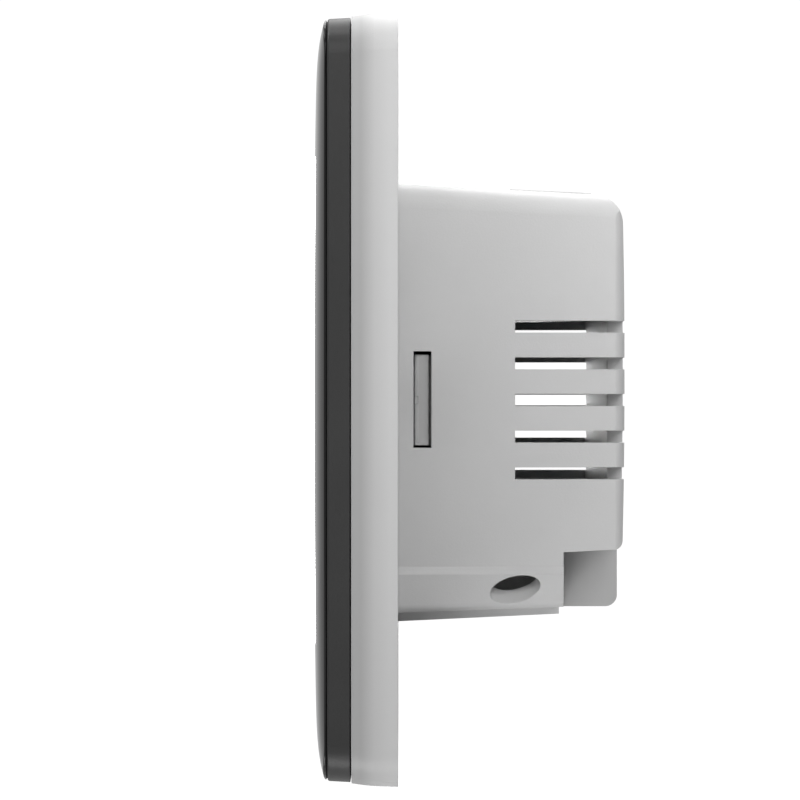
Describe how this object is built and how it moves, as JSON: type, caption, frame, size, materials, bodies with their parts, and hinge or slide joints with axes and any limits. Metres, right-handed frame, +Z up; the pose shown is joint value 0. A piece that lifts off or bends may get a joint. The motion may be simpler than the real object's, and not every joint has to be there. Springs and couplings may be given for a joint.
{
  "type": "wall thermostat",
  "caption": "Square flush wall thermostat: a domed touch front on a thin plate, with a vented rear box, snap latches and screw terminals.",
  "frame": {"origin": "centre of the wall plate's back face, which lies on the wall", "axes": "+Y into the wall, along the box screws; -Y faces the room; +Z up; X is the width"},
  "size_m": [0.0868, 0.0367, 0.0868],
  "materials": {
    "plate_plastic": "fine satin moulded white",
    "housing_plastic": "fine spark-eroded light grey",
    "label": "blank printed film",
    "circuit_board": "green solder mask",
    "screw_steel": "zinc plated",
    "black_plastic": "moulded black",
    "terminal_plastic": "moulded grey",
    "terminal_metal": "nickel plated",
    "relay_plastic": "moulded blue",
    "white_plastic": "moulded natural white",
    "copper_wire": "enamelled copper",
    "iron": "soft iron, plated",
    "contact_metal": "silver alloy on brass",
    "ferrite": "sintered dark grey",
    "capacitor_sleeve": "shrunk film sleeve",
    "filter_plastic": "moulded yellow",
    "varistor_coating": "dipped blue",
    "fuse_glass": "clear tube",
    "bezel_plastic": "satin moulded black",
    "lens": "polished black",
    "display_glass": "dark display glass",
    "light_guide": "white diffuser",
    "spring_steel": "plated spring wire",
    "cell_metal": "pressed steel can",
    "shield_metal": "tinned shield",
    "sensor": "glass bead"
  },
  "bodies": {
    "base": {"wall_plate": "plate_plastic", "rear_housing": "housing_plastic", "rating_label": "label", "power_board": "circuit_board", "board_screws": "screw_steel", "socket_header": "black_plastic", "terminal_block": "terminal_plastic", "clamp_frames": "terminal_metal", "relay_cover": "relay_plastic", "relay_base": "black_plastic", "relay_bobbin": "white_plastic", "relay_coil": "copper_wire", "relay_yoke": "iron", "relay_contact": "contact_metal", "transformer_core": "ferrite", "transformer_winding": "copper_wire", "bulk_capacitor": "capacitor_sleeve", "filter_capacitor": "filter_plastic", "varistor": "varistor_coating", "fuse": "fuse_glass", "choke": "ferrite", "power_chips": "black_plastic"},
    "front_unit": {"front_bezel": "bezel_plastic", "front_lens": "lens", "lcd_glass": "display_glass", "light_guide": "light_guide", "display_board": "circuit_board", "display_screws": "screw_steel", "touch_springs": "spring_steel", "buzzer": "black_plastic", "backup_cell": "cell_metal", "control_chip": "black_plastic", "radio_module": "shield_metal", "temp_sensor": "sensor", "pin_header": "black_plastic"},
    "latch_right": {"latch_right": "plate_plastic"},
    "latch_left": {"latch_left": "plate_plastic"},
    "relay_armature": {"relay_armature": "iron"},
    "clamp_pad_1": {"clamp_pad_1": "terminal_metal"},
    "terminal_screw_1": {"terminal_screw_1": "terminal_metal"},
    "clamp_pad_2": {"clamp_pad_2": "terminal_metal"},
    "terminal_screw_2": {"terminal_screw_2": "terminal_metal"},
    "clamp_pad_3": {"clamp_pad_3": "terminal_metal"},
    "terminal_screw_3": {"terminal_screw_3": "terminal_metal"},
    "clamp_pad_4": {"clamp_pad_4": "terminal_metal"},
    "terminal_screw_4": {"terminal_screw_4": "terminal_metal"},
    "clamp_pad_5": {"clamp_pad_5": "terminal_metal"},
    "terminal_screw_5": {"terminal_screw_5": "terminal_metal"},
    "clamp_pad_6": {"clamp_pad_6": "terminal_metal"},
    "terminal_screw_6": {"terminal_screw_6": "terminal_metal"}
  },
  "joints": [
    {"name": "front_slide", "type": "slide", "parent": "base", "child": "front_unit", "axis": [0, -1, 0], "range_m": [0, 0.03]},
    {"name": "latch_right_flex", "type": "hinge", "parent": "base", "child": "latch_right", "pos_m": [0.02225, -0.00125, 0], "axis": [0, 0, 1], "range_deg": [0, 12.5], "stiffness_Nm_per_rad": 0.01, "springref_deg": -2.86},
    {"name": "latch_left_flex", "type": "hinge", "parent": "base", "child": "latch_left", "pos_m": [-0.02225, -0.00125, 0], "axis": [0, 0, -1], "range_deg": [0, 12.5], "stiffness_Nm_per_rad": 0.01, "springref_deg": -2.86},
    {"name": "armature_tip", "type": "hinge", "parent": "base", "child": "relay_armature", "pos_m": [0.009, 0.0184, 0.0162], "axis": [0, 0, -1], "range_deg": [0, 2], "stiffness_Nm_per_rad": 0.01, "springref_deg": -5.73},
    {"name": "clamp_1", "type": "slide", "parent": "base", "child": "clamp_pad_1", "axis": [0, -1, 0], "range_m": [0, 0.0015]},
    {"name": "screw_1", "type": "hinge", "parent": "clamp_pad_1", "child": "terminal_screw_1", "pos_m": [-0.0127, 0.0253, -0.0215], "axis": [0, -1, 0], "range_deg": [0, 1200.5]},
    {"name": "clamp_2", "type": "slide", "parent": "base", "child": "clamp_pad_2", "axis": [0, -1, 0], "range_m": [0, 0.0015]},
    {"name": "screw_2", "type": "hinge", "parent": "clamp_pad_2", "child": "terminal_screw_2", "pos_m": [-0.00762, 0.0253, -0.0215], "axis": [0, -1, 0], "range_deg": [0, 1200.5]},
    {"name": "clamp_3", "type": "slide", "parent": "base", "child": "clamp_pad_3", "axis": [0, -1, 0], "range_m": [0, 0.0015]},
    {"name": "screw_3", "type": "hinge", "parent": "clamp_pad_3", "child": "terminal_screw_3", "pos_m": [-0.00254, 0.0253, -0.0215], "axis": [0, -1, 0], "range_deg": [0, 1200.5]},
    {"name": "clamp_4", "type": "slide", "parent": "base", "child": "clamp_pad_4", "axis": [0, -1, 0], "range_m": [0, 0.0015]},
    {"name": "screw_4", "type": "hinge", "parent": "clamp_pad_4", "child": "terminal_screw_4", "pos_m": [0.00254, 0.0253, -0.0215], "axis": [0, -1, 0], "range_deg": [0, 1200.5]},
    {"name": "clamp_5", "type": "slide", "parent": "base", "child": "clamp_pad_5", "axis": [0, -1, 0], "range_m": [0, 0.0015]},
    {"name": "screw_5", "type": "hinge", "parent": "clamp_pad_5", "child": "terminal_screw_5", "pos_m": [0.00762, 0.0253, -0.0215], "axis": [0, -1, 0], "range_deg": [0, 1200.5]},
    {"name": "clamp_6", "type": "slide", "parent": "base", "child": "clamp_pad_6", "axis": [0, -1, 0], "range_m": [0, 0.0015]},
    {"name": "screw_6", "type": "hinge", "parent": "clamp_pad_6", "child": "terminal_screw_6", "pos_m": [0.0127, 0.0253, -0.0215], "axis": [0, -1, 0], "range_deg": [0, 1200.5]}
  ],
  "couplings": [
    {"joint": "screw_1", "follows": "clamp_1", "rad_per_m": 13963},
    {"joint": "screw_2", "follows": "clamp_2", "rad_per_m": 13963},
    {"joint": "screw_3", "follows": "clamp_3", "rad_per_m": 13963},
    {"joint": "screw_4", "follows": "clamp_4", "rad_per_m": 13963},
    {"joint": "screw_5", "follows": "clamp_5", "rad_per_m": 13963},
    {"joint": "screw_6", "follows": "clamp_6", "rad_per_m": 13963}
  ]
}
